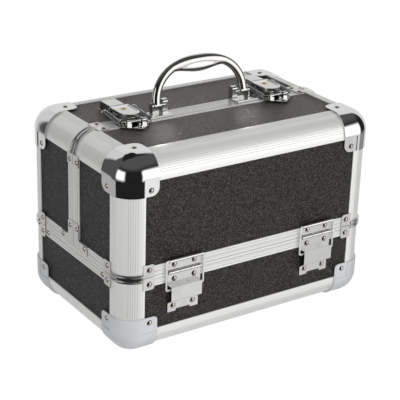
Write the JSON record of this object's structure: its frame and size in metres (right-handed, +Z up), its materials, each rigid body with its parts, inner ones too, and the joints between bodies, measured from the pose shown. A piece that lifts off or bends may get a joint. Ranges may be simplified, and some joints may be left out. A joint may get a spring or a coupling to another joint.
{
  "type": "makeup train case",
  "caption": "Aluminium-framed case whose lid parts into halves that swing out on stay hinges and draw cantilever trays, with keyed draw latches and a folding bow handle.",
  "frame": {"origin": "middle of the case's footprint, on the ground", "axes": "+X along the length to the right, -Y to the front, +Z up"},
  "size_m": [0.3706, 0.2492, 0.3161],
  "materials": {
    "panel_face": "pebble-grained black covering",
    "panel_top": "pebble-grained black covering",
    "panel_end": "pebble-grained black covering",
    "floor_panel": "black covering",
    "frame": "satin anodised, fine lengthwise lines",
    "rim": "satin anodised, ribbed",
    "chrome": "mirror",
    "bracket": "bright nickel",
    "satin_corner": "satin silver",
    "rivet": "domed, bright",
    "hinge": "bright nickel",
    "pin": "plain",
    "latch": "bright nickel",
    "spring": "bright wire",
    "key": "polished",
    "arm": "zinc plated",
    "tray": "black, fine grain"
  },
  "bodies": {
    "base": {"base_front_panel": "panel_face", "base_rear_panel": "panel_face", "base_left_panel": "panel_end", "base_right_panel": "panel_end", "base_floor": "floor_panel", "base_corner_profiles": "frame", "base_bottom_rails": "frame", "base_rim": "rim", "base_corners": "satin_corner", "base_seam_brackets": "bracket", "base_rivets": "rivet", "base_hinge_leaves": "hinge", "stay_channels": "hinge", "hinge_pins": "pin", "tray_pivot_plates": "arm"},
    "front_half": {"front_face_panel": "panel_face", "front_top_panel": "panel_top", "front_left_panel": "panel_end", "front_right_panel": "panel_end", "front_profiles": "frame", "front_rim": "rim", "front_ball_corners": "chrome", "front_brackets": "bracket", "front_rivets": "rivet", "front_hinge_leaves": "hinge", "latch_catches": "latch", "handle_pads": "bracket"},
    "rear_half": {"rear_face_panel": "panel_face", "rear_top_panel": "panel_top", "rear_left_panel": "panel_end", "rear_right_panel": "panel_end", "rear_profiles": "frame", "rear_rim": "rim", "rear_ball_corners": "chrome", "rear_brackets": "bracket", "rear_rivets": "rivet", "rear_hinge_leaves": "hinge", "latch_bases": "latch", "handle_brackets": "bracket"},
    "handle": {"handle": "chrome"},
    "front_left_stay": {"front_left_stay": "chrome"},
    "front_right_stay": {"front_right_stay": "chrome"},
    "rear_left_stay": {"rear_left_stay": "chrome"},
    "rear_right_stay": {"rear_right_stay": "chrome"},
    "left_lever": {"left_lever": "latch"},
    "left_draw_bail": {"left_draw_bail": "chrome", "left_draw_springs": "spring"},
    "left_key_barrel": {"left_key_barrel": "key"},
    "right_lever": {"right_lever": "latch"},
    "right_draw_bail": {"right_draw_bail": "chrome", "right_draw_springs": "spring"},
    "right_key_barrel": {"right_key_barrel": "key"},
    "front_outer_arms": {"front_outer_arms": "arm"},
    "front_inner_arms": {"front_inner_arms": "arm"},
    "front_lower_tray": {"front_lower_tray": "tray"},
    "front_upper_tray": {"front_upper_tray": "tray"},
    "rear_outer_arms": {"rear_outer_arms": "arm"},
    "rear_inner_arms": {"rear_inner_arms": "arm"},
    "rear_lower_tray": {"rear_lower_tray": "tray"},
    "rear_upper_tray": {"rear_upper_tray": "tray"}
  },
  "joints": [
    {"name": "front_half_swing", "type": "hinge", "parent": "base", "child": "front_half", "pos_m": [0, -0.1189, 0.101], "axis": [1, 0, 0], "range_deg": [0, 95]},
    {"name": "rear_half_swing", "type": "hinge", "parent": "base", "child": "rear_half", "pos_m": [0, 0.1189, 0.101], "axis": [-1, 0, 0], "range_deg": [0, 95]},
    {"name": "handle_fold", "type": "hinge", "parent": "rear_half", "child": "handle", "pos_m": [0, 0.0047, 0.262], "axis": [1, 0, 0], "range_deg": [0, 98]},
    {"name": "left_lever_lift", "type": "hinge", "parent": "rear_half", "child": "left_lever", "pos_m": [-0.1056, 0.025, 0.2575], "axis": [-1, 0, 0], "range_deg": [0, 90]},
    {"name": "left_bail_lift", "type": "hinge", "parent": "rear_half", "child": "left_draw_bail", "pos_m": [-0.1056, 0.025, 0.2575], "axis": [-1, 0, 0], "range_deg": [0, 54]},
    {"name": "left_key_turn", "type": "hinge", "parent": "left_lever", "child": "left_key_barrel", "pos_m": [-0.1056, 0.014, 0.258], "axis": [0, 0, 1], "range_deg": [0, 90]},
    {"name": "right_lever_lift", "type": "hinge", "parent": "rear_half", "child": "right_lever", "pos_m": [0.1056, 0.025, 0.2575], "axis": [-1, 0, 0], "range_deg": [0, 90]},
    {"name": "right_bail_lift", "type": "hinge", "parent": "rear_half", "child": "right_draw_bail", "pos_m": [0.1056, 0.025, 0.2575], "axis": [-1, 0, 0], "range_deg": [0, 54]},
    {"name": "right_key_turn", "type": "hinge", "parent": "right_lever", "child": "right_key_barrel", "pos_m": [0.1056, 0.014, 0.258], "axis": [0, 0, 1], "range_deg": [0, 90]},
    {"name": "front_left_stay_swing", "type": "hinge", "parent": "front_half", "child": "front_left_stay", "pos_m": [-0.099, -0.1197, 0.1163], "axis": [1, 0, 0], "range_deg": [-68, 0]},
    {"name": "front_right_stay_swing", "type": "hinge", "parent": "front_half", "child": "front_right_stay", "pos_m": [0.099, -0.1197, 0.1163], "axis": [1, 0, 0], "range_deg": [-68, 0]},
    {"name": "front_outer_arms_swing", "type": "hinge", "parent": "base", "child": "front_outer_arms", "pos_m": [0, -0.092, 0.094], "axis": [1, 0, 0], "range_deg": [0, 65]},
    {"name": "front_inner_arms_swing", "type": "hinge", "parent": "base", "child": "front_inner_arms", "pos_m": [0, -0.052, 0.094], "axis": [1, 0, 0], "range_deg": [0, 65]},
    {"name": "front_lower_tray_level", "type": "hinge", "parent": "front_outer_arms", "child": "front_lower_tray", "pos_m": [0, -0.08035, 0.13747], "axis": [1, 0, 0], "range_deg": [-65, 0]},
    {"name": "front_upper_tray_level", "type": "hinge", "parent": "front_outer_arms", "child": "front_upper_tray", "pos_m": [0, -0.06612, 0.19059], "axis": [1, 0, 0], "range_deg": [-65, 0]},
    {"name": "rear_left_stay_swing", "type": "hinge", "parent": "rear_half", "child": "rear_left_stay", "pos_m": [-0.099, 0.1197, 0.1163], "axis": [-1, 0, 0], "range_deg": [-68, 0]},
    {"name": "rear_right_stay_swing", "type": "hinge", "parent": "rear_half", "child": "rear_right_stay", "pos_m": [0.099, 0.1197, 0.1163], "axis": [-1, 0, 0], "range_deg": [-68, 0]},
    {"name": "rear_outer_arms_swing", "type": "hinge", "parent": "base", "child": "rear_outer_arms", "pos_m": [0, 0.092, 0.094], "axis": [-1, 0, 0], "range_deg": [0, 65]},
    {"name": "rear_inner_arms_swing", "type": "hinge", "parent": "base", "child": "rear_inner_arms", "pos_m": [0, 0.052, 0.094], "axis": [-1, 0, 0], "range_deg": [0, 65]},
    {"name": "rear_lower_tray_level", "type": "hinge", "parent": "rear_outer_arms", "child": "rear_lower_tray", "pos_m": [0, 0.08035, 0.13747], "axis": [-1, 0, 0], "range_deg": [-65, 0]},
    {"name": "rear_upper_tray_level", "type": "hinge", "parent": "rear_outer_arms", "child": "rear_upper_tray", "pos_m": [0, 0.06612, 0.19059], "axis": [-1, 0, 0], "range_deg": [-65, 0]}
  ],
  "couplings": [
    {"joint": "left_bail_lift", "follows": "left_lever_lift", "ratio": 0.6},
    {"joint": "right_bail_lift", "follows": "right_lever_lift", "ratio": 0.6},
    {"joint": "front_left_stay_swing", "follows": "front_half_swing", "ratio": -0.7115},
    {"joint": "front_right_stay_swing", "follows": "front_half_swing", "ratio": -0.7115},
    {"joint": "front_outer_arms_swing", "follows": "front_half_swing", "ratio": 0.6842},
    {"joint": "front_inner_arms_swing", "follows": "front_half_swing", "ratio": 0.6842},
    {"joint": "front_lower_tray_level", "follows": "front_half_swing", "ratio": -0.6842},
    {"joint": "front_upper_tray_level", "follows": "front_half_swing", "ratio": -0.6842},
    {"joint": "rear_left_stay_swing", "follows": "rear_half_swing", "ratio": -0.7115},
    {"joint": "rear_right_stay_swing", "follows": "rear_half_swing", "ratio": -0.7115},
    {"joint": "rear_outer_arms_swing", "follows": "rear_half_swing", "ratio": 0.6842},
    {"joint": "rear_inner_arms_swing", "follows": "rear_half_swing", "ratio": 0.6842},
    {"joint": "rear_lower_tray_level", "follows": "rear_half_swing", "ratio": -0.6842},
    {"joint": "rear_upper_tray_level", "follows": "rear_half_swing", "ratio": -0.6842}
  ]
}
